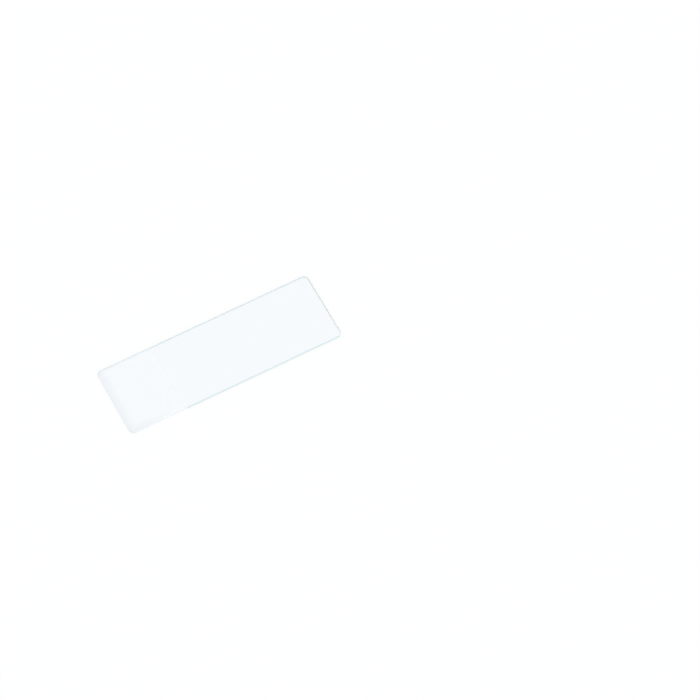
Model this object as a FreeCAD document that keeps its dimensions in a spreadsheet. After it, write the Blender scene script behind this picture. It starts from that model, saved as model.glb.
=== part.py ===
"""Glass microscope slide with clipped corners, seamed rims and one frosted end, in millimetres.

The slide is one pane of glass. It lies on its lower polished face, with the origin at the middle of
that face, X along the slide and +Z up. The frosted end is at -X, on the upper face.
"""

import FreeCAD
import Part
import Sketcher

import os

# Driving dimensions: alias, value in millimetres, what it is.
SIZES = (
    ("slide_length", 76.0, "overall length, from end to end"),
    ("slide_width", 26.0, "overall width, from long edge to long edge"),
    ("slide_thickness", 1.0, "thickness of the pane between its polished faces"),
    ("corner_clip", 1.2, "length that each 45 degree corner cut takes off both sides"),
    ("corner_blend", 0.4, "radius that eases a corner cut into the side beside it"),
    ("rim_bevel", 0.15, "leg of the 45 degree seam along the upper and lower rims"),
    ("frost_length", 20.0, "length of the frosted end"),
    ("frost_depth", 0.02, "depth that the frosting takes off the polished face"),
    ("frost_ramp", 0.3, "run of the slope that rises from the frosting to the polished face"),
)

LINE_START = 1  # Sketcher's number for the first point of a line
LINE_END = 2  # Sketcher's number for the last point of a line
ORIGIN = (-1, LINE_START)  # Sketcher's name for the origin of a sketch
SAME_PLACE = 1e-6  # places closer than this, in millimetres, are one


def make_sheet(doc):
    """Writes the driving dimensions into a spreadsheet, with one aliased cell for each."""
    sheet = doc.addObject("Spreadsheet::Sheet", "Sizes")
    for row, (alias, value, meaning) in enumerate(SIZES, start=1):
        sheet.set(f"A{row}", alias)
        sheet.set(f"B{row}", str(value))
        sheet.set(f"C{row}", meaning)
        sheet.setAlias(f"B{row}", alias)
    doc.recompute()
    return sheet


def new_sketch(body, name, role):
    """Makes an empty sketch on the body's own origin plane with this role."""
    plane = next(feature for feature in body.Origin.OriginFeatures if feature.Role == role)
    sketch = body.newObject("Sketcher::SketchObject", name)
    sketch.AttachmentSupport = [(plane, "")]
    sketch.MapMode = "FlatFace"
    return sketch


def draw_loop(sketch, corners):
    """Draws a closed loop of lines through the corners. Line 0 starts at the first corner."""
    count = len(corners)
    for line in range(count):
        start = FreeCAD.Vector(*corners[line])
        end = FreeCAD.Vector(*corners[(line + 1) % count])
        sketch.addGeometry(Part.LineSegment(start, end))
    for line in range(count):
        following = (line + 1) % count
        sketch.addConstraint(Sketcher.Constraint("Coincident", line, LINE_END, following, LINE_START))


def level_and_upright(sketch, level, upright):
    """Holds some of a sketch's lines level and others upright."""
    for line in level:
        sketch.addConstraint(Sketcher.Constraint("Horizontal", line))
    for line in upright:
        sketch.addConstraint(Sketcher.Constraint("Vertical", line))


def add_size(sketch, name, kind, first, second, formula):
    """Dimensions a sketch from one point to another by a formula of the sheet's aliases.

    The lines are drawn in place before this, so the constraint starts from their own distance.
    """
    gap = sketch.getPoint(*second) - sketch.getPoint(*first)
    distance = gap.x if kind == "DistanceX" else gap.y
    index = sketch.addConstraint(Sketcher.Constraint(kind, *first, *second, distance))
    sketch.renameConstraint(index, name)
    sketch.setExpression(f"Constraints.{name}", formula)


def cut_blank(body, sheet):
    """Cuts the rectangle of sheet glass that the slide is made from, centred on the origin."""
    outline = new_sketch(body, "BlankOutline", "XY_Plane")
    front, right, back, left = range(4)
    half_length = sheet.slide_length / 2
    half_width = sheet.slide_width / 2
    corners = (
        (-half_length, -half_width),
        (half_length, -half_width),
        (half_length, half_width),
        (-half_length, half_width),
    )
    draw_loop(outline, corners)
    level_and_upright(outline, level=(front, back), upright=(right, left))
    centred = Sketcher.Constraint("Symmetric", front, LINE_START, back, LINE_START, *ORIGIN)
    outline.addConstraint(centred)
    front_ends = (front, LINE_START), (front, LINE_END)
    add_size(outline, "Length", "DistanceX", *front_ends, "Sizes.slide_length")
    right_ends = (right, LINE_START), (right, LINE_END)
    add_size(outline, "Width", "DistanceY", *right_ends, "Sizes.slide_width")

    blank = body.newObject("PartDesign::Pad", "Blank")
    blank.Profile = outline
    blank.setExpression("Length", "Sizes.slide_thickness")
    body.Document.recompute()
    return blank


def is_upright(box):
    """True for the bounding box of an edge that stands along Z."""
    return max(box.XLength, box.YLength) < SAME_PLACE < box.ZLength


def is_level(box):
    """True for the bounding box of an edge that lies in the upper or the lower face."""
    return box.ZLength < SAME_PLACE


def work_edges(kind, name, base, chosen, property_name, alias):
    """Chamfers or fillets the chosen edges of the feature base, by the size in one cell."""
    edges = [
        f"Edge{number}"
        for number, edge in enumerate(base.Shape.Edges, start=1)
        if chosen(edge.BoundBox)
    ]
    feature = base.getParentGeoFeatureGroup().newObject(f"PartDesign::{kind}", name)
    feature.Base = (base, edges)
    feature.setExpression(property_name, f"Sizes.{alias}")
    feature.Document.recompute()
    return feature


def frost_end(body, sheet):
    """Takes the frosting's depth off the upper face at the -X end, right across the slide.

    The cutting section runs along Y. Its floor is the frosted surface, and its sloping side
    crosses the level of the polished face where the frosted length ends. The side goes on as far
    again above the face, so that the section cuts clear of it.
    """
    section = new_sketch(body, "FrostSection", "XZ_Plane")
    floor, slope, top, outer = range(4)
    outer_x = -sheet.slide_length / 2 - sheet.frost_ramp
    slope_foot_x = outer_x + sheet.frost_length
    slope_head_x = slope_foot_x + 2 * sheet.frost_ramp
    floor_z = sheet.slide_thickness - sheet.frost_depth
    top_z = sheet.slide_thickness + sheet.frost_depth
    corners = (
        (outer_x, floor_z),
        (slope_foot_x, floor_z),
        (slope_head_x, top_z),
        (outer_x, top_z),
    )
    draw_loop(section, corners)
    level_and_upright(section, level=(floor, top), upright=(outer,))
    outer_corner = (floor, LINE_START)
    slope_foot = (slope, LINE_START)
    slope_head = (slope, LINE_END)
    reach = "Sizes.slide_length / 2 + Sizes.frost_ramp"
    add_size(section, "Reach", "DistanceX", outer_corner, ORIGIN, reach)
    height = "Sizes.slide_thickness - Sizes.frost_depth"
    add_size(section, "FloorHeight", "DistanceY", ORIGIN, outer_corner, height)
    add_size(section, "FloorLength", "DistanceX", outer_corner, slope_foot, "Sizes.frost_length")
    add_size(section, "SlopeRun", "DistanceX", slope_foot, slope_head, "2 * Sizes.frost_ramp")
    add_size(section, "SlopeRise", "DistanceY", slope_foot, slope_head, "2 * Sizes.frost_depth")

    frosting = body.newObject("PartDesign::Pocket", "FrostedEnd")
    frosting.Profile = section
    frosting.Type = "ThroughAll"
    frosting.SideType = "Symmetric"
    body.Document.recompute()
    return frosting


def make_slide(doc, sheet):
    """Makes the slide as glass workers do: cut, clip the corners, seam the rims, frost one end."""
    body = doc.addObject("PartDesign::Body", "GlassSlide")
    body.Label = "glass_slide"
    blank = cut_blank(body, sheet)
    clips = work_edges("Chamfer", "ClippedCorners", blank, is_upright, "Size", "corner_clip")
    blends = work_edges("Fillet", "EasedCorners", clips, is_upright, "Radius", "corner_blend")
    rims = work_edges("Chamfer", "SeamedRims", blends, is_level, "Size", "rim_bevel")
    frosting = frost_end(body, sheet)
    if frosting.Shape.Volume >= rims.Shape.Volume:
        raise ValueError("the frosting took no glass off the slide")
    return body


def check(doc, body):
    """Stops the build if any object failed to compute or the slide isn't one sound solid."""
    for item in doc.Objects:
        if {"Invalid", "Error"} & set(item.State):
            raise ValueError(f"{item.Name} failed: {item.State}")
    shape = body.Shape
    if shape.isNull() or not shape.isValid() or len(shape.Solids) != 1:
        raise ValueError(f"{body.Label} isn't one valid solid")


def main():
    """Builds the document and writes the slide's STEP file."""
    doc = FreeCAD.newDocument("MicroscopeSlide")
    sheet = make_sheet(doc)
    slide = make_slide(doc, sheet)
    check(doc, slide)
    os.makedirs("parts", exist_ok=True)
    slide.Shape.exportStep(f"parts/{slide.Label}.step")
    box = slide.Shape.BoundBox
    print(f"{slide.Label}: {box.XLength:.3f} x {box.YLength:.3f} x {box.ZLength:.3f} mm")


main()
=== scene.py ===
"""A glass microscope slide with one frosted end, lying on a white studio floor.

Everything is in metres, in the frame of the solid model: the slide lies on z = 0, X runs along it
away from the frosted end, Y runs across it, and Z points up out of the face that carries specimens.
"""

from __future__ import annotations

import logging
import math
from dataclasses import dataclass
from enum import IntEnum

import bpy
import numpy as np
from mathutils import Matrix, Vector


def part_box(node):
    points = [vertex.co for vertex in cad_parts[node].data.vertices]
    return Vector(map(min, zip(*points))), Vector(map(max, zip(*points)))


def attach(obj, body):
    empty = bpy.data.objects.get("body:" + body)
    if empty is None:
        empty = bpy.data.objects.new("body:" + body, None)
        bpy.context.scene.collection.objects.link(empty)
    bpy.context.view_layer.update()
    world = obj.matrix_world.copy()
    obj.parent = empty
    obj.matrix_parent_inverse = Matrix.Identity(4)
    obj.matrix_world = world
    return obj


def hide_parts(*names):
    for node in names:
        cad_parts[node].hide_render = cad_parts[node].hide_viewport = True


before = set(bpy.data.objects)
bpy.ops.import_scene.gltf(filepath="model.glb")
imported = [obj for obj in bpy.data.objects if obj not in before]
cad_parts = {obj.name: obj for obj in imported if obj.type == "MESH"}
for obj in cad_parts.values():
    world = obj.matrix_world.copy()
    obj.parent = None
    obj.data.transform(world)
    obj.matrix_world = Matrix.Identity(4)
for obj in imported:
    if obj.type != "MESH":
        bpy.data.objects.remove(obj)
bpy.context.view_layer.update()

LOG = logging.getLogger("microscope_slide")

MM = 0.001

Colour = tuple[float, float, float]
Sizes = tuple[float, float, float]
Span = tuple[float, float]
Socket = bpy.types.NodeSocket


class Surface(IntEnum):
    """The surfaces of the pane, in the order of its material slots."""

    POLISHED = 0
    SEAM = 1
    EDGE = 2
    BACK_SEAM = 3
    BACK_EDGE = 4
    LOWER_SEAM = 5
    FROSTED = 6
    FROSTED_RIM = 7
    FROSTED_SEAM = 8


# --------------------------------------------------------------------------------------------------
# Meshes from arrays
# --------------------------------------------------------------------------------------------------


def mesh_object(name: str, points: np.ndarray, quads: np.ndarray, slots: np.ndarray) -> bpy.types.Object:
    """Puts a mesh of four-sided faces into the scene.

    Args:
        name: the piece's name.
        points: the corners, one row of x, y and z for each, in metres.
        quads: four corner numbers for each face, anticlockwise seen from outside.
        slots: the material slot of each face.

    Returns:
        The object, at the origin and unturned.
    """
    mesh = bpy.data.meshes.new(name)
    mesh.from_pydata(points.tolist(), [], quads.tolist())
    mesh.polygons.foreach_set("material_index", slots.astype(np.int32))
    mesh.polygons.foreach_set("use_smooth", np.ones(len(quads), dtype=bool))
    mesh.update()
    piece = bpy.data.objects.new(name, mesh)
    bpy.context.scene.collection.objects.link(piece)
    return piece


def grid_quads(numbers: np.ndarray) -> np.ndarray:
    """Joins neighbours in a grid of corner numbers into faces.

    Args:
        numbers: corner numbers, rows by columns. Seen from outside, rows run to the right and
            columns run up.

    Returns:
        Four corner numbers for each face, anticlockwise seen from outside.
    """
    corners = (numbers[:-1, :-1], numbers[1:, :-1], numbers[1:, 1:], numbers[:-1, 1:])
    return np.stack([corner.ravel() for corner in corners], axis=1)


# --------------------------------------------------------------------------------------------------
# Finishes
# --------------------------------------------------------------------------------------------------


class Shader:
    """The nodes of a material or of the world, with short calls to add them and join them.

    NOISE_SPREAD is the range that the noise texture's values mostly keep to.
    """

    NOISE_SPREAD: Span = (0.3, 0.7)

    def __init__(self, owner: bpy.types.Material | bpy.types.World, output: str = "OutputMaterial") -> None:
        """Empties the owner's nodes and adds its output.

        Args:
            owner: the material or world.
            output: the type of its output node, without the ShaderNode prefix.
        """
        self.owner = owner
        self.owner.use_nodes = True
        self.nodes = owner.node_tree.nodes
        self.links = owner.node_tree.links
        self.nodes.clear()
        self.output = self.add(output)

    def add(self, kind: str, **settings: object) -> bpy.types.Node:
        """Adds a node.

        Args:
            kind: the node's type, without its ShaderNode prefix.
            settings: the node's own properties.

        Returns:
            The node.
        """
        node = self.nodes.new(f"ShaderNode{kind}")
        for name, value in settings.items():
            setattr(node, name, value)
        return node

    def join(self, source: Socket, target: Socket) -> None:
        """Joins an output to an input."""
        self.links.new(source, target)

    def maths(self, operation: str, first: Socket | float, second: Socket | float) -> Socket:
        """Adds a Math node.

        Args:
            operation: what it works out.
            first: its first value, which is fixed or comes from another node.
            second: its second value, likewise.

        Returns:
            The result.
        """
        node = self.add("Math", operation=operation)
        for socket, value in zip(node.inputs, (first, second), strict=False):
            if isinstance(value, Socket):
                self.join(value, socket)
            else:
                socket.default_value = value
        return node.outputs[0]

    def noise(self, size: Sizes, detail: float) -> Socket:
        """Adds noise on the object's own coordinates.

        Args:
            size: the width of its marks along X, Y and Z, in metres.
            detail: how many finer layers it has.

        Returns:
            The noise, from 0 to 1.
        """
        place = self.add("TexCoord")
        stretch = self.add("Mapping")
        stretch.inputs["Scale"].default_value = [1 / width for width in size]
        noise = self.add("TexNoise")
        noise.inputs["Scale"].default_value = 1.0
        noise.inputs["Detail"].default_value = detail
        self.join(place.outputs["Object"], stretch.inputs["Vector"])
        self.join(stretch.outputs["Vector"], noise.inputs["Vector"])
        return noise.outputs["Fac"]

    def map_range(self, value: Socket, source: Span, target: Span, kind: str) -> Socket:
        """Maps one range of values to another and holds what lies outside at its ends.

        Args:
            value: the value.
            source: its own range.
            target: the range that it is mapped to.
            kind: the way between the ends, LINEAR or SMOOTHSTEP.

        Returns:
            The mapped value.
        """
        node = self.add("MapRange", interpolation_type=kind)
        node.inputs["From Min"].default_value, node.inputs["From Max"].default_value = source
        node.inputs["To Min"].default_value, node.inputs["To Max"].default_value = target
        self.join(value, node.inputs["Value"])
        return node.outputs["Result"]

    def between(self, noise: Socket, limits: Span) -> Socket:
        """Maps noise from its usual spread to the range between two limits."""
        return self.map_range(noise, self.NOISE_SPREAD, limits, "LINEAR")

    def fall(self, distance: Socket, reach: Span) -> Socket:
        """Falls smoothly from 1 to 0 while a distance goes through the reach, in metres."""
        return self.map_range(distance, reach, (1.0, 0.0), "SMOOTHSTEP")

    def mix(self, share: Socket, first: Socket | Colour, second: Socket | Colour) -> Socket:
        """Mixes two colours, each of which is fixed or comes from another node.

        Args:
            share: how much of the second colour there is, from 0 to 1.
            first: the first colour.
            second: the second colour.

        Returns:
            The mixed colour.
        """
        node = self.add("Mix", data_type="RGBA")
        colours = [socket for socket in node.inputs if socket.type == "RGBA"]
        for socket, colour in zip(colours, (first, second), strict=True):
            if isinstance(colour, Socket):
                self.join(colour, socket)
            else:
                socket.default_value = (*colour, 1.0)
        self.join(share, node.inputs["Factor"])
        return next(socket for socket in node.outputs if socket.type == "RGBA")

    def bump(self, surface: bpy.types.Node, height: Socket, top: float) -> None:
        """Bumps a surface.

        Args:
            surface: the surface's node.
            height: its height, from 0 to 1.
            top: how many metres high a height of 1 stands.
        """
        node = self.add("Bump")
        node.inputs["Strength"].default_value = 1.0
        node.inputs["Distance"].default_value = top
        self.join(height, node.inputs["Height"])
        self.join(node.outputs["Normal"], surface.inputs["Normal"])

    def blend(self, share: Socket, first: Socket, second: Socket) -> None:
        """Blends two shaders and shows the result.

        Args:
            share: how much of the second shader there is, from 0 to 1.
            first: the first shader.
            second: the second shader.
        """
        node = self.add("MixShader")
        self.join(share, node.inputs["Fac"])
        self.join(first, node.inputs[1])
        self.join(second, node.inputs[2])
        self.join(node.outputs["Shader"], self.output.inputs["Surface"])


@dataclass(frozen=True)
class SodaLimeGlass:
    """The glass itself: how it bends light and what it takes out of it on the way.

    taken_per_metre says how fast red, green and blue light are taken, as a share for each metre. The
    absorption node takes density times (1 - colour), so density only says how that is split.
    """

    ior: float = 1.52
    taken_per_metre: Colour = (6.0, 2.4, 1.8)
    density: float = 10.0

    def fill(self, shader: Shader, tint: Colour, clearness: float) -> bpy.types.Node:
        """Makes a shader one of glass, with its absorption.

        Args:
            shader: the shader.
            tint: the colour that the surface gives to light.
            clearness: the share of the light that goes through, where the rest is scattered.

        Returns:
            The surface's node.
        """
        surface = shader.add("BsdfPrincipled")
        surface.inputs["Base Color"].default_value = (*tint, 1.0)
        surface.inputs["IOR"].default_value = self.ior
        surface.inputs["Transmission Weight"].default_value = clearness
        kept = [1 - taken / self.density for taken in self.taken_per_metre]
        volume = shader.add("VolumeAbsorption")
        volume.inputs["Color"].default_value = (*kept, 1.0)
        volume.inputs["Density"].default_value = self.density
        shader.join(surface.outputs["BSDF"], shader.output.inputs["Surface"])
        shader.join(volume.outputs["Volume"], shader.output.inputs["Volume"])
        return surface


@dataclass(frozen=True)
class Grain:
    """The texture that a tool leaves in the glass, with its sizes along X, Y and Z.

    Roughness wanders over marks of mark_size, and bumps of bump_size stand bump_height high. The
    details say how many finer layers the two noises have.
    """

    mark_size: Sizes
    bump_size: Sizes
    bump_height: float
    mark_detail: float = 3.0
    bump_detail: float = 2.0


@dataclass(frozen=True)
class GlassFinish:
    """How one surface of the glass was worked. Its roughness wanders between two limits."""

    name: str
    glass: SodaLimeGlass
    tint: Colour
    roughness: Span
    grain: Grain
    clearness: float = 1.0

    def material(self) -> bpy.types.Material:
        """Makes the finish's material.

        Returns:
            The material.
        """
        shader = Shader(bpy.data.materials.new(self.name))
        surface = self.glass.fill(shader, self.tint, self.clearness)
        self.colour(shader, surface)
        marks = shader.noise(self.grain.mark_size, self.grain.mark_detail)
        shader.join(shader.between(marks, self.roughness), surface.inputs["Roughness"])
        bumps = shader.noise(self.grain.bump_size, self.grain.bump_detail)
        shader.bump(surface, bumps, self.grain.bump_height)
        return shader.owner

    def colour(self, shader: Shader, surface: bpy.types.Node) -> None:
        """Colours the surface. A plain finish keeps its one tint."""


@dataclass(frozen=True)
class FrostedEnd:
    """Where the frosting stops: the X of its end rim and inner border, the Y of its two sides."""

    end: float
    border: float
    front: float
    back: float


@dataclass(frozen=True, kw_only=True)
class FrostAndPaintedShadeFinish(GlassFinish):
    """Frosting with painted shade along its end, its front and its inner border.

    A reach holds the distances at which painted shade or tint starts to fall off and where it is
    gone. Along the front, the shade also fades with the distance from the end, over front_fade.
    Where a back rim tint is given, it is painted light: a bluish glow along the back rim.
    """

    frosted_end: FrostedEnd
    # The colour of the painted shade along the end, the front and the inner border.
    painted_shade_tint: Colour
    end_reach: Span = (0.3 * MM, 3.5 * MM)
    front_reach: Span = (0.3 * MM, 3.3 * MM)
    front_fade: Span = (5.0 * MM, 14.0 * MM)
    front_share: float = 1.0
    border_reach: Span = (0.5 * MM, 1.1 * MM)
    border_share: float = 0.12
    back_reach: Span = (0.2 * MM, 0.42 * MM)
    # Painted light: the bluish glow along the back rim, if any.
    painted_back_light_tint: Colour | None = None

    def colour(self, shader: Shader, surface: bpy.types.Node) -> None:
        """Colours the surface by its place.

        Each of the three painted shades is a share of a fall from 1 to 0 with the distance from its rim
        or border. The largest of the three blends the painted shade tint into the plain one. The fall from
        the back rim blends in the back rim's tint, which is painted light.

        Args:
            shader: the material's shader.
            surface: the node to colour.
        """
        place = shader.add("TexCoord")
        axes = shader.add("SeparateXYZ")
        shader.join(place.outputs["Object"], axes.inputs["Vector"])
        x, y = axes.outputs["X"], axes.outputs["Y"]
        from_end = shader.maths("SUBTRACT", x, self.frosted_end.end)
        from_front = shader.maths("SUBTRACT", y, self.frosted_end.front)
        from_border = shader.maths("SUBTRACT", self.frosted_end.border, x)
        # Painted shade: a darker tint along the end rim, the front and the inner border, fading along the
        # front with the distance from the end.
        end = shader.fall(from_end, self.end_reach)
        fade = shader.fall(from_end, self.front_fade)
        front = shader.maths("MULTIPLY", shader.fall(from_front, self.front_reach), fade)
        front = shader.maths("MULTIPLY", front, self.front_share)
        border = shader.maths("MULTIPLY", shader.fall(from_border, self.border_reach), self.border_share)
        painted_shade = shader.maths("MAXIMUM", shader.maths("MAXIMUM", end, front), border)
        colour = shader.mix(painted_shade, self.tint, self.painted_shade_tint)
        # Painted light: a bluish glow along the back rim, as if lit through its clear edge.
        if self.painted_back_light_tint is not None:
            from_back = shader.maths("SUBTRACT", self.frosted_end.back, y)
            colour = shader.mix(shader.fall(from_back, self.back_reach), colour, self.painted_back_light_tint)
        shader.join(colour, surface.inputs["Base Color"])


@dataclass(frozen=True)
class DustFinish:
    """Matt lint-grey dust, speckled between two shades and bumped by the same marks."""

    dark: Colour = (0.2, 0.28, 0.38)
    pale: Colour = (0.36, 0.46, 0.58)
    mark_size: float = 0.04 * MM
    mark_detail: float = 2.0
    bump_height: float = 0.004 * MM
    roughness: float = 0.9

    def material(self) -> bpy.types.Material:
        """Makes the finish's material.

        Returns:
            The material.
        """
        shader = Shader(bpy.data.materials.new("dust"))
        surface = shader.add("BsdfPrincipled")
        surface.inputs["Roughness"].default_value = self.roughness
        marks = shader.noise((self.mark_size,) * 3, self.mark_detail)
        share = shader.between(marks, (0.0, 1.0))
        shader.join(shader.mix(share, self.dark, self.pale), surface.inputs["Base Color"])
        shader.bump(surface, marks, self.bump_height)
        shader.join(surface.outputs["BSDF"], shader.output.inputs["Surface"])
        return shader.owner


# --------------------------------------------------------------------------------------------------
# The pane of glass
# --------------------------------------------------------------------------------------------------


@dataclass(frozen=True)
class Outline:
    """The closed plan outline of the pane as four sides that meet at their ends.

    Each side has its points and the outward direction at each point. The front and back sides run
    towards +X and hold the clipped corners. The two ends run towards +Y.
    """

    front: np.ndarray
    front_out: np.ndarray
    back: np.ndarray
    back_out: np.ndarray
    left: np.ndarray
    left_out: np.ndarray
    right: np.ndarray
    right_out: np.ndarray


@dataclass
class GlassPane:
    """The slide itself: one pane with clipped corners, seamed rims and a frosted end.

    The width of each seam wanders by up to rim_ripple, in as many waves round the rim as
    ripple_waves says. A stretch of the rim belongs to the back where the Y part of its outward
    direction is more than back_limit, which takes in the clips of the two back corners. Faces that
    meet at more than crease degrees are shaded as a crease.
    """

    length: float
    width: float
    thickness: float
    corner_clip: float = 1.2 * MM
    corner_blend: float = 0.4 * MM
    rim_bevel: float = 0.15 * MM
    frost_length: float = 20.0 * MM
    frost_depth: float = 0.02 * MM
    frost_ramp: float = 0.3 * MM
    ramp_easing: float = 0.05 * MM
    face_step: float = 0.5 * MM
    blend_steps: int = 8
    clip_steps: int = 6
    bevel_steps: int = 3
    edge_steps: int = 6
    rim_ripple: float = 0.012 * MM
    ripple_waves: tuple[int, ...] = (11, 23, 41, 67, 97, 149, 211)
    ripple_seed: int = 7
    back_limit: float = 0.35
    crease: float = 30.0

    @property
    def frost_end_x(self) -> float:
        """Where the slope of the frosting meets the polished face."""
        return -self.length / 2 + self.frost_length

    def corner_arc(self, corner: np.ndarray, first: float, last: float) -> tuple[np.ndarray, np.ndarray]:
        """Rounds one corner between two sides by the blend radius.

        The centre lies one radius inside both sides: corner - r (n1 + n2) / (1 + n1 . n2), where n1
        and n2 are the sides' outward directions. The arc is centre + r (cos a, sin a).

        Args:
            corner: the corner where the two sides' lines cross.
            first: the angle of the first side's outward direction, in radians.
            last: the same for the second side.

        Returns:
            The arc's points and their outward directions.
        """
        angles = np.linspace(first, last, self.blend_steps + 1)
        outward = np.stack([np.cos(angles), np.sin(angles)], axis=1)
        lean = 1 + outward[0] @ outward[-1]
        centre = corner - self.corner_blend * (outward[0] + outward[-1]) / lean
        return centre + self.corner_blend * outward, outward

    def stations(self, first: float, last: float) -> np.ndarray:
        """Places points along the front edge, evenly but for the bends of the frosting's slope.

        Each bend has a point of its own and one on either side, ramp_easing away.

        Args:
            first: the X of the edge's left end.
            last: the X of its right end.

        Returns:
            The X of each point between the two ends.
        """
        count = int(round((last - first) / self.face_step))
        even = np.linspace(first, last, count + 1)
        bends = np.array([self.frost_end_x - self.frost_ramp, self.frost_end_x])
        near_bends = np.concatenate([bends - self.ramp_easing, bends, bends + self.ramp_easing])
        clear = np.abs(even[:, None] - near_bends).min(axis=1) > self.ramp_easing
        return np.sort(np.concatenate([even[clear], near_bends]))[1:-1]

    def front_side(self) -> tuple[np.ndarray, np.ndarray]:
        """The outline's front side, from the left end round both clipped corners to the right end.

        Two clips make four corners, at each of which the outward direction turns by an eighth of a
        circle. It starts as -X at the left end and ends as +X at the right end.

        Returns:
            Its points and their outward directions.
        """
        half_length, half_width, clip = self.length / 2, self.width / 2, self.corner_clip
        corners = np.array(
            [
                (-half_length, clip - half_width),
                (clip - half_length, -half_width),
                (half_length - clip, -half_width),
                (half_length, clip - half_width),
            ]
        )
        turns = math.pi * (1 + np.arange(len(corners) + 1) / len(corners))
        turned = zip(corners, turns[:-1], turns[1:], strict=True)
        arcs = [self.corner_arc(corner, first, last) for corner, first, last in turned]
        points, outward = [arcs[0][0]], [arcs[0][1]]
        for before, after in zip(arcs[:-1], arcs[1:], strict=True):
            start, end = before[0][-1], after[0][0]
            # The front edge is the one stretch that runs along X. The others are clips.
            if np.isclose(start[1], end[1]):
                share = (self.stations(start[0], end[0]) - start[0]) / (end[0] - start[0])
            else:
                share = np.linspace(0, 1, self.clip_steps + 1)[1:-1]
            points += [start + share[:, None] * (end - start), after[0]]
            outward += [np.repeat(before[1][-1:], len(share), axis=0), after[1]]
        return np.concatenate(points), np.concatenate(outward)

    def outline(self) -> Outline:
        """Works out the whole outline. The back is the front mirrored, and the ends are straight.

        Returns:
            The outline.
        """
        front, front_out = self.front_side()
        mirror = np.array([1.0, -1.0])
        reach = -front[0, 1]
        across = np.linspace(-reach, reach, int(round(2 * reach / self.face_step)) + 1)
        right = np.stack([np.full_like(across, self.length / 2), across], axis=1)
        right_out = np.repeat([[1.0, 0.0]], len(across), axis=0)
        left, left_out = right * (-1, 1), -right_out
        return Outline(front, front_out, front * mirror, front_out * mirror, left, left_out, right, right_out)

    @staticmethod
    def around(front: np.ndarray, right: np.ndarray, back: np.ndarray, left: np.ndarray) -> np.ndarray:
        """Joins four sides' values into one ring, anticlockwise seen from above."""
        return np.concatenate([front[:-1], right[:-1], back[:0:-1], left[:0:-1]])

    def rim_of(self, numbers: np.ndarray) -> np.ndarray:
        """The corner numbers round the rim of a face's grid, anticlockwise seen from above."""
        return self.around(numbers[:, 0], numbers[-1], numbers[:, -1], numbers[0])

    def ripple(self, ring: np.ndarray, phases: np.ndarray) -> np.ndarray:
        """The unevenness that hand seaming leaves in the width of a seam, along the ring.

        It is the mean of cosines of the share of the way round, each with a whole number of waves,
        so that it closes on itself.

        Args:
            ring: the outline's points.
            phases: where each cosine starts, as a share of a turn.

        Returns:
            What is added to the seam's width at each point.
        """
        waves = np.array(self.ripple_waves)
        steps = np.linalg.norm(np.roll(ring, -1, axis=0) - ring, axis=1)
        share = np.concatenate([[0], np.cumsum(steps)[:-1]]) / steps.sum()
        return self.rim_ripple * np.cos(2 * math.pi * (share[:, None] * waves + phases)).mean(axis=1)

    def frost_depths(self, x: np.ndarray) -> np.ndarray:
        """How far the frosting lies below the polished face: its full depth, then a slope up."""
        return self.frost_depth * np.clip((self.frost_end_x - x) / self.frost_ramp, 0, 1)

    def rim(self, ring: np.ndarray, outward: np.ndarray) -> np.ndarray:
        """Carries the rim's section round the outline.

        From the upper face, the section goes down the 45 degree seam, down the ground edge and in
        along the lower seam. A point of the section lies at the outline's point less its inset
        times the outward direction.

        Args:
            ring: the outline's points, anticlockwise seen from above.
            outward: the outward direction at each of them.

        Returns:
            The points, indexed by place down the section and then by place round the ring.
        """
        draws = np.random.default_rng(self.ripple_seed)
        upper_seam = self.rim_bevel + self.ripple(ring, draws.random(len(self.ripple_waves)))
        lower_seam = self.rim_bevel + self.ripple(ring, draws.random(len(self.ripple_waves)))
        sunk = self.frost_depths(ring[:, 0])
        top, edge_top, edge_foot = self.thickness - sunk, self.thickness - upper_seam, lower_seam
        down_seam = np.linspace(0, 1, self.bevel_steps + 1)[:, None]
        down_edge = np.linspace(0, 1, self.edge_steps + 1)[:, None]
        insets = np.concatenate(
            [
                (1 - down_seam) * (upper_seam - sunk),
                np.zeros((self.edge_steps, len(ring))),
                down_seam[1:] * lower_seam,
            ]
        )
        heights = np.concatenate(
            [
                top + down_seam * (edge_top - top),
                edge_top + down_edge[1:] * (edge_foot - edge_top),
                (1 - down_seam[1:]) * edge_foot,
            ]
        )
        plan = ring - insets[..., None] * outward
        return np.concatenate([plan, heights[..., None]], axis=2)

    @staticmethod
    def patch(front: np.ndarray, back: np.ndarray, left: np.ndarray, right: np.ndarray) -> np.ndarray:
        """Fills the space between four sides with a grid (a Coons patch).

        With u from left to right and v from front to back, a point is the blend of front and back
        by v, plus the blend of left and right by u, less the blend of the four corners by both.

        Args:
            front: points of the front side, towards +X.
            back: points of the back side, towards +X.
            left: points of the left end, towards +Y.
            right: points of the right end, towards +Y.

        Returns:
            The points, indexed by place along X and then by place along Y.
        """
        u = ((front[:, 0] - front[0, 0]) / (front[-1, 0] - front[0, 0]))[:, None, None]
        v = ((left[:, 1] - left[0, 1]) / (left[-1, 1] - left[0, 1]))[None, :, None]
        along = (1 - v) * front[:, None] + v * back[:, None]
        across = (1 - u) * left[None] + u * right[None]
        near = (1 - u) * front[0] + u * front[-1]
        far = (1 - u) * back[0] + u * back[-1]
        return along + across - (1 - v) * near - v * far

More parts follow.
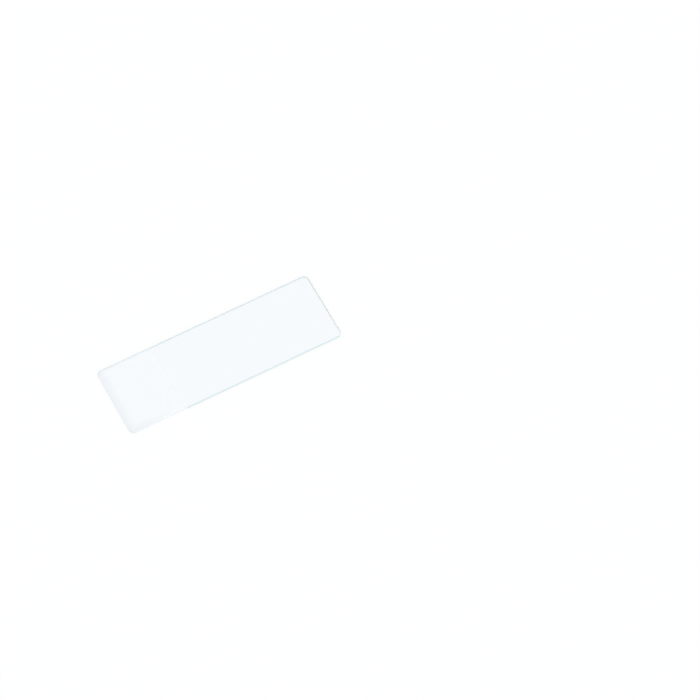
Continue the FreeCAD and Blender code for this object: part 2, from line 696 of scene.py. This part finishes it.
    def face(self, outline: Outline, ring: np.ndarray, frosted: bool) -> np.ndarray:
        """Fills one of the two large faces, inside its ring of points.

        Args:
            outline: the pane's outline, for the number of points on its sides.
            ring: the face's rim, x and y, anticlockwise seen from above.
            frosted: True for the upper face, whose end is frosted.

        Returns:
            The points, indexed by place along X and then by place along Y.
        """
        along, across = len(outline.front) - 1, len(outline.left) - 1
        closed = np.concatenate([ring, ring[:1]])
        front = closed[: along + 1]
        right = closed[along : along + across + 1]
        back = closed[along + across : 2 * along + across + 1][::-1]
        left = closed[2 * along + across :][::-1]
        plan = self.patch(front, back, left, right)
        height = self.thickness - self.frost_depths(plan[..., 0]) if frosted else 0 * plan[..., 0]
        return np.concatenate([plan, height[..., None]], axis=2)

    def in_frost(self, faces: np.ndarray) -> np.ndarray:
        """True for each face, given by its corner points, whose middle is in the frosted end."""
        return faces[..., 0].mean(axis=1) < self.frost_end_x

    def rim_surfaces(self, outward: np.ndarray, frosted: np.ndarray) -> np.ndarray:
        """Tells which surface each face of the rim belongs to.

        Args:
            outward: the outward direction at each point of the ring.
            frosted: True for each face of the rim that is in the frosted end.

        Returns:
            The surface of each face, row after row down the section.
        """
        row_counts = [self.bevel_steps, self.edge_steps, self.bevel_steps]
        plain_rows = np.repeat([Surface.SEAM, Surface.EDGE, Surface.LOWER_SEAM], row_counts)
        back_rows = np.repeat([Surface.BACK_SEAM, Surface.BACK_EDGE, Surface.LOWER_SEAM], row_counts)
        between = (outward + np.roll(outward, -1, axis=0)) / 2
        faces_back = np.tile(between[:, 1] > self.back_limit, len(plain_rows))
        plain, back = (np.repeat(rows, len(outward)) for rows in (plain_rows, back_rows))
        surfaces = np.where(faces_back, back, plain)
        surfaces[frosted & ~faces_back] = Surface.FROSTED_RIM
        surfaces[frosted & (surfaces == Surface.BACK_SEAM)] = Surface.FROSTED_SEAM
        return surfaces

    def build(self) -> bpy.types.Object:
        """Builds the pane as one closed skin: two faces and the rim between them.

        Returns:
            The pane's object.
        """
        outline = self.outline()
        ring = self.around(outline.front, outline.right, outline.back, outline.left)
        outward = self.around(outline.front_out, outline.right_out, outline.back_out, outline.left_out)
        rim = self.rim(ring, outward)
        upper = self.face(outline, rim[0, :, :2], frosted=True)
        lower = self.face(outline, rim[-1, :, :2], frosted=False)
        inner_rim = rim[1:-1]
        points = np.concatenate([part.reshape(-1, 3) for part in (upper, lower, inner_rim)])

        upper_numbers = np.arange(upper[..., 0].size).reshape(upper.shape[:2])
        lower_numbers = upper_numbers + upper_numbers.size
        inner_numbers = np.arange(inner_rim[..., 0].size).reshape(inner_rim.shape[:2])
        rim_numbers = np.concatenate(
            [
                self.rim_of(upper_numbers)[None],
                inner_numbers + 2 * upper_numbers.size,
                self.rim_of(lower_numbers)[None],
            ]
        )
        upper_quads = grid_quads(upper_numbers)
        lower_quads = grid_quads(lower_numbers)[:, ::-1]
        rim_quads = grid_quads(np.concatenate([rim_numbers, rim_numbers[:, :1]], axis=1))

        slots = np.concatenate(
            [
                np.where(self.in_frost(points[upper_quads]), Surface.FROSTED, Surface.POLISHED),
                np.full(len(lower_quads), Surface.POLISHED),
                self.rim_surfaces(outward, self.in_frost(points[rim_quads])),
            ]
        )
        quads = np.concatenate([upper_quads, lower_quads, rim_quads])
        piece = mesh_object("glass_pane", points, quads, slots)
        piece.data.set_sharp_from_angle(angle=math.radians(self.crease))
        return piece

    def finishes(self) -> dict[Surface, GlassFinish]:
        """Chooses how each surface was worked.

        Returns:
            The finish of each surface.
        """
        glass = SodaLimeGlass()
        polished = Grain((12 * MM, 4 * MM, 10 * MM), (30 * MM, 30 * MM, 30 * MM), 0.002 * MM)
        ground = Grain((1 * MM, 1 * MM, 0.2 * MM), (0.8 * MM, 0.8 * MM, 0.06 * MM), 0.001 * MM)
        frosting = Grain((4 * MM, 4 * MM, 4 * MM), (0.1 * MM, 0.1 * MM, 0.1 * MM), 0.0005 * MM)
        half_width = self.width / 2
        frosted_end = FrostedEnd(-self.length / 2, self.frost_end_x, front=-half_width, back=half_width)
        return {
            Surface.POLISHED: GlassFinish(
                "polished_glass", glass, tint=(0.94, 0.966, 0.993), roughness=(0.0, 0.02), grain=polished
            ),
            Surface.SEAM: GlassFinish(
                "seamed_glass",
                glass,
                tint=(0.95, 1.0, 1.0),
                roughness=(0.3, 0.35),
                grain=ground,
                clearness=0.5,
            ),
            Surface.EDGE: GlassFinish(
                "edge_glass",
                glass,
                tint=(0.7, 0.86, 0.88),
                roughness=(0.5, 0.6),
                grain=ground,
                clearness=0.0,
            ),
            # The back seams' dark teal is partly the glass's own tint and partly painted shade, for the dark
            # line along the back rim.
            Surface.BACK_SEAM: GlassFinish(
                "back_seam_glass_and_painted_shade", glass, tint=(0.15, 0.65, 0.85), roughness=(0.04, 0.07), grain=ground
            ),
            Surface.BACK_EDGE: GlassFinish(
                "back_edge_glass", glass, tint=(1.0, 1.0, 1.0), roughness=(0.03, 0.06), grain=ground
            ),
            Surface.LOWER_SEAM: GlassFinish(
                "lower_seam_glass", glass, tint=(0.8, 0.96, 1.0), roughness=(0.04, 0.07), grain=ground
            ),
            # The frosted face carries painted shade along its end, front and inner border, and painted light
            # along its back rim.
            Surface.FROSTED: FrostAndPaintedShadeFinish(
                "frosted_glass_with_painted_light_and_shade",
                glass,
                tint=(0.972, 0.99, 1.0),
                roughness=(0.38, 0.42),
                grain=frosting,
                clearness=0.6,
                frosted_end=frosted_end,
                painted_shade_tint=(0.875, 0.91, 0.952),
                painted_back_light_tint=(0.68, 0.88, 1.0),
            ),
            # The rim of the frosted end carries painted shade along the end, and a quarter of it along the
            # front.
            Surface.FROSTED_RIM: FrostAndPaintedShadeFinish(
                "frosted_rim_glass_with_painted_shade",
                glass,
                tint=(0.975, 1.0, 1.0),
                roughness=(0.6, 0.7),
                grain=frosting,
                clearness=0.0,
                frosted_end=frosted_end,
                painted_shade_tint=(0.82, 0.848, 0.875),
                front_share=0.25,
            ),
            # The back seams of the frosted end: a darker teal, partly the glass's own tint and partly painted
            # shade for the dark line along the back rim.
            Surface.FROSTED_SEAM: GlassFinish(
                "frosted_seam_glass_and_painted_shade", glass, tint=(0.03, 0.42, 0.62), roughness=(0.04, 0.07), grain=ground
            ),
        }

    def dress(self, piece: bpy.types.Object) -> None:
        """Gives the pane the finish of each surface, in the order of its slots.

        Args:
            piece: the pane's object.
        """
        finishes = self.finishes()
        for surface in Surface:
            piece.data.materials.append(finishes[surface].material())


# --------------------------------------------------------------------------------------------------
# Dust
# --------------------------------------------------------------------------------------------------


@dataclass
class Dust:
    """Specks of dust that lie on the upper face. Each speck is its x, its y and its width.

    A speck is a ball that is squashed to flatness of its height. Its radius is uneven by up to
    unevenness of itself, in wave_count waves, which turn by some wave_spread radians on a radius.
    Points of the ball that agree in their first match_digits decimals are one.
    """

    face_height: float
    specks: tuple[tuple[float, float, float], ...] = (
        (1.15 * MM, -5.6 * MM, 0.14 * MM),
        (7.0 * MM, -6.35 * MM, 0.11 * MM),
    )
    flatness: float = 0.5
    unevenness: float = 0.5
    wave_count: int = 4
    wave_spread: float = 2.0
    steps: int = 8
    match_digits: int = 6
    gap: float = 0.001 * MM
    seed: int = 3

    def ball(self) -> tuple[np.ndarray, np.ndarray]:
        """Makes a ball of quads: the six faces of a cube, each a grid, pushed out to a radius of 1.

        Returns:
            Its points, and the four corner numbers of each face.
        """
        ticks = np.tan(np.linspace(-math.pi / 4, math.pi / 4, self.steps + 1))
        across, up = np.meshgrid(ticks, ticks, indexing="ij")
        grid = np.stack([across, up, np.ones_like(across)], axis=2)
        sides = [np.roll(grid, turn, axis=2) * sign for turn in range(3) for sign in (1, -1)]
        numbers = np.arange(grid[..., 0].size).reshape(grid.shape[:2])
        quads = [grid_quads(numbers)[:, ::sign] for _ in range(3) for sign in (1, -1)]
        quads = np.concatenate([side + index * numbers.size for index, side in enumerate(quads)])
        points = np.concatenate([side.reshape(-1, 3) for side in sides])
        rounded = points.round(self.match_digits)
        _, first, shared = np.unique(rounded, axis=0, return_index=True, return_inverse=True)
        points = points[first] / np.linalg.norm(points[first], axis=1, keepdims=True)
        return points, shared.reshape(-1)[quads]

    def build(self) -> bpy.types.Object:
        """Builds the specks as one piece.

        A speck is a ball whose radius is 1 plus unevenness times the mean of cosines of (direction .
        wave + phase), with random waves and phases. It is squashed and stands just above the face.

        Returns:
            The piece.
        """
        ball, quads = self.ball()
        draws = np.random.default_rng(self.seed)
        points = []
        for x, y, width in self.specks:
            waves = draws.normal(scale=self.wave_spread, size=(3, self.wave_count))
            phases = draws.random(self.wave_count) * 2 * math.pi
            radius = 1 + self.unevenness * np.cos(ball @ waves + phases).mean(axis=1)
            speck = ball * radius[:, None] * (width / 2 * np.array([1, 1, self.flatness]))
            speck += (x, y, self.face_height + self.gap - speck[:, 2].min())
            points.append(speck)
        quads = np.concatenate([quads + index * len(ball) for index in range(len(self.specks))])
        return mesh_object("dust_specks", np.concatenate(points), quads, np.zeros(len(quads)))

    def dress(self, piece: bpy.types.Object) -> None:
        """Gives the specks their one finish."""
        piece.data.materials.append(DustFinish().material())


# --------------------------------------------------------------------------------------------------
# The studio
# --------------------------------------------------------------------------------------------------


def direction(azimuth: float, elevation: float) -> Vector:
    """The direction at an azimuth from -Y towards +X and an elevation, both in degrees."""
    turn, rise = math.radians(azimuth), math.radians(elevation)
    return Vector((math.sin(turn) * math.cos(rise), -math.cos(turn) * math.cos(rise), math.sin(rise)))


@dataclass(frozen=True)
class Lamp:
    """A large square lamp that faces the slide, with its angles in degrees and its power in watts."""

    name: str
    azimuth: float
    elevation: float
    power: float
    size: float = 2.4
    distance: float = 2.0

    def hang(self, middle: Vector) -> None:
        """Hangs the lamp at its distance from the slide.

        Args:
            middle: the slide's middle.
        """
        data = bpy.data.lights.new(self.name, "AREA")
        data.size = self.size
        data.energy = self.power
        lamp = bpy.data.objects.new(self.name, data)
        away = direction(self.azimuth, self.elevation)
        lamp.location = middle + away * self.distance
        lamp.rotation_euler = away.to_track_quat("Z", "Y").to_euler()
        bpy.context.scene.collection.objects.link(lamp)


@dataclass
class Studio:
    """A white floor under a soft sky, two large lamps and the camera.

    The camera sees the floor as plain white by white_share, whatever its shadow. The camera stands
    at distance from the slide's middle, at azimuth and elevation, is rolled by roll, and aims beside
    the middle by aim_right and aim_up. Angles are in degrees and the lens is in millimetres.
    """

    middle: Vector
    floor_drop: float = 0.05 * MM
    floor_reach: float = 3.0
    floor_colour: Colour = (0.98, 0.98, 0.98)
    white_share: float = 0.85
    sky_colour: Colour = (0.97, 0.985, 1.0)
    sky_strength: float = 0.9
    lamps: tuple[Lamp, ...] = (
        Lamp("key_lamp", azimuth=-120.0, elevation=60.0, power=6.0),
        Lamp("fill_lamp", azimuth=60.0, elevation=45.0, power=2.5),
    )
    azimuth: float = -21.2
    elevation: float = 58.6
    roll: float = 6.9
    distance: float = 1.33
    lens: float = 212.0
    aim_right: float = 42.1 * MM
    aim_up: float = 1.3 * MM
    filter_width: float = 2.0
    bounces: int = 32

    def floor(self) -> bpy.types.Object:
        """Lays the floor just under the slide. It looks white, and keeps part of the shadow.

        Returns:
            The floor.
        """
        corners = np.array([(-1, -1), (1, -1), (1, 1), (-1, 1)]) * self.floor_reach
        points = np.column_stack([corners, np.full(len(corners), -self.floor_drop)])
        piece = mesh_object("studio_floor", points, np.array([[0, 1, 2, 3]]), np.zeros(1))
        shader = Shader(bpy.data.materials.new("white_floor"))
        lit = shader.add("BsdfDiffuse")
        lit.inputs["Color"].default_value = (*self.floor_colour, 1.0)
        white = shader.add("Emission")
        white.inputs["Strength"].default_value = 1.0
        path = shader.add("LightPath")
        through = shader.maths("MAXIMUM", path.outputs["Is Glossy Ray"], path.outputs["Is Transmission Ray"])
        direct = shader.maths("MULTIPLY", path.outputs["Is Camera Ray"], self.white_share)
        share = shader.maths("MAXIMUM", through, direct)
        shader.blend(share, lit.outputs["BSDF"], white.outputs["Emission"])
        piece.data.materials.append(shader.owner)
        return piece

    def sky(self) -> None:
        """Surrounds the scene with soft light, white to the camera."""
        shader = Shader(bpy.data.worlds.new("soft_sky"), "OutputWorld")
        soft = shader.add("Background")
        soft.inputs["Color"].default_value = (*self.sky_colour, 1.0)
        soft.inputs["Strength"].default_value = self.sky_strength
        white = shader.add("Background")
        white.inputs["Color"].default_value = (1.0, 1.0, 1.0, 1.0)
        path = shader.add("LightPath")
        shader.blend(path.outputs["Is Camera Ray"], soft.outputs["Background"], white.outputs["Background"])
        bpy.context.scene.world = shader.owner

    def camera(self) -> None:
        """Sets up the camera, which looks down on the slide from its frosted end."""
        data = bpy.data.cameras.new("camera")
        data.lens = self.lens
        camera = bpy.data.objects.new("camera", data)
        back = direction(self.azimuth, self.elevation)
        turn = back.to_track_quat("Z", "Y").to_matrix() @ Matrix.Rotation(math.radians(-self.roll), 3, "Z")
        aim = self.middle + turn @ Vector((self.aim_right, self.aim_up, 0))
        camera.matrix_world = Matrix.Translation(aim + back * self.distance) @ turn.to_4x4()
        bpy.context.scene.collection.objects.link(camera)
        bpy.context.scene.camera = camera

    def build(self) -> None:
        """Builds the whole studio, with enough bounces for the light that the glass guides."""
        self.floor()
        self.sky()
        for lamp in self.lamps:
            lamp.hang(self.middle)
        self.camera()
        scene = bpy.context.scene
        scene.view_settings.view_transform = "Standard"
        scene.cycles.filter_width = self.filter_width
        scene.cycles.max_bounces = self.bounces
        scene.cycles.glossy_bounces = self.bounces
        scene.cycles.transmission_bounces = self.bounces


def main() -> None:
    """Builds the slide, its dust and the studio."""
    logging.basicConfig(level=logging.INFO, format="%(name)s: %(message)s")
    low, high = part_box("glass_slide")
    size = high - low
    slide = GlassPane(length=size.x, width=size.y, thickness=size.z)
    pane = slide.build()
    slide.dress(pane)
    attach(pane, "root")
    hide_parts("glass_slide")
    LOG.info("%s: %d faces", pane.name, len(pane.data.polygons))

    dust = Dust(face_height=size.z)
    specks = dust.build()
    dust.dress(specks)
    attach(specks, "root")
    LOG.info("%s: %d faces", specks.name, len(specks.data.polygons))

    studio = Studio(middle=(low + high) / 2)
    studio.build()
    LOG.info("studio: a floor, a sky, %d lamps and a camera", len(studio.lamps))


if __name__ == "__main__":
    main()
